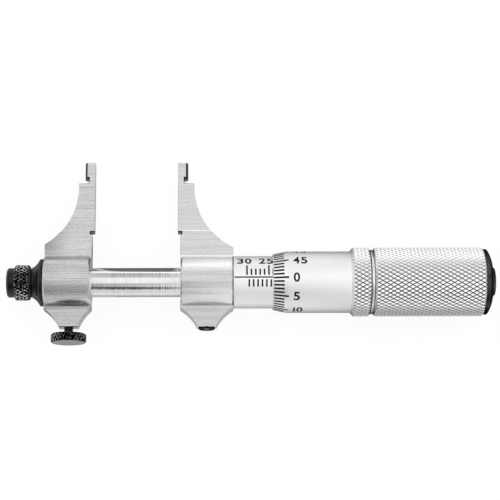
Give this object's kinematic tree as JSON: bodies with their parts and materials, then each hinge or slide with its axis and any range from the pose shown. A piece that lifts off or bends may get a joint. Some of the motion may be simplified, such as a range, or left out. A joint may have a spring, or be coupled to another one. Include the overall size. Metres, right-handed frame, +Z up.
{
  "type": "inside micrometer",
  "caption": "Inside micrometer: fixed and sliding measuring jaws, graduated sleeve and thimble, knurled friction grip, and a thumb screw that locks the setting.",
  "frame": {"origin": "on the surface that the instrument lies on, in the middle of its footprint", "axes": "+X along the spindle from the knob to the end cap, +Y towards the jaw tips, +Z up; the jaws are rolled towards the surface as they come to rest"},
  "size_m": [0.1122, 0.0426, 0.0159],
  "materials": {
    "jaw_steel": "ground steel with fine straight brushing along the spindle",
    "ground_steel": "ground and polished round",
    "satin_chrome": "satin chrome with black filled graduations",
    "knurled_chrome": "satin chrome over a diamond knurl",
    "black_oxide": "blackened steel, slightly glossy",
    "bronze": "turned bronze",
    "spring_steel": "plain turned steel"
  },
  "bodies": {
    "frame": {"fixed_jaw": "jaw_steel", "guide_key": "ground_steel", "key_screw": "black_oxide", "barrel": "ground_steel", "adjusting_nut": "spring_steel"},
    "scale_sleeve": {"graduated_sleeve": "satin_chrome"},
    "sliding_jaw": {"moving_jaw": "jaw_steel", "guide_tube": "ground_steel", "front_bush": "bronze", "rear_bush": "bronze", "knob_washer": "bronze", "thrust_washer": "bronze"},
    "spindle_group": {"spindle": "ground_steel", "knob": "black_oxide", "thimble": "satin_chrome", "clamp_nut": "spring_steel", "friction_spring": "spring_steel", "end_cap": "black_oxide", "cap_screw": "black_oxide"},
    "grip": {"friction_sleeve": "knurled_chrome"},
    "lock_shoe_body": {"lock_shoe": "bronze"},
    "lock_screw_body": {"lock_screw": "black_oxide"}
  },
  "joints": [
    {"name": "jaw_travel", "type": "slide", "parent": "frame", "child": "sliding_jaw", "axis": [-1, 0, 0], "range_m": [-0.019, 0.006]},
    {"name": "thimble_turn", "type": "hinge", "parent": "sliding_jaw", "child": "spindle_group", "pos_m": [-0.01463, -0.00682, 0.00795], "axis": [-1, 0, 0], "range_deg": [-13681, 4321]},
    {"name": "friction_sleeve_slip", "type": "hinge", "parent": "spindle_group", "child": "grip", "pos_m": [0.0407, -0.00682, 0.00795], "axis": [-1, 0, 0], "continuous": true},
    {"name": "sleeve_zero_set", "type": "hinge", "parent": "frame", "child": "scale_sleeve", "pos_m": [0.01227, -0.00682, 0.00795], "axis": [-1, 0, 0], "range_deg": [-12, 12]},
    {"name": "lock_shoe_travel", "type": "slide", "parent": "sliding_jaw", "child": "lock_shoe_body", "axis": [0, 0.9857, -0.1685], "range_m": [-0.0009, 0.00015]},
    {"name": "lock_screw_turn", "type": "hinge", "parent": "lock_shoe_body", "child": "lock_screw_body", "pos_m": [-0.04192, -0.01727, 0.00974], "axis": [0, 0.9857, -0.1685], "range_deg": [-721, 121]}
  ],
  "couplings": [
    {"joint": "thimble_turn", "follows": "jaw_travel", "rad_per_m": 12566},
    {"joint": "lock_screw_turn", "follows": "lock_shoe_travel", "rad_per_m": 13963}
  ]
}
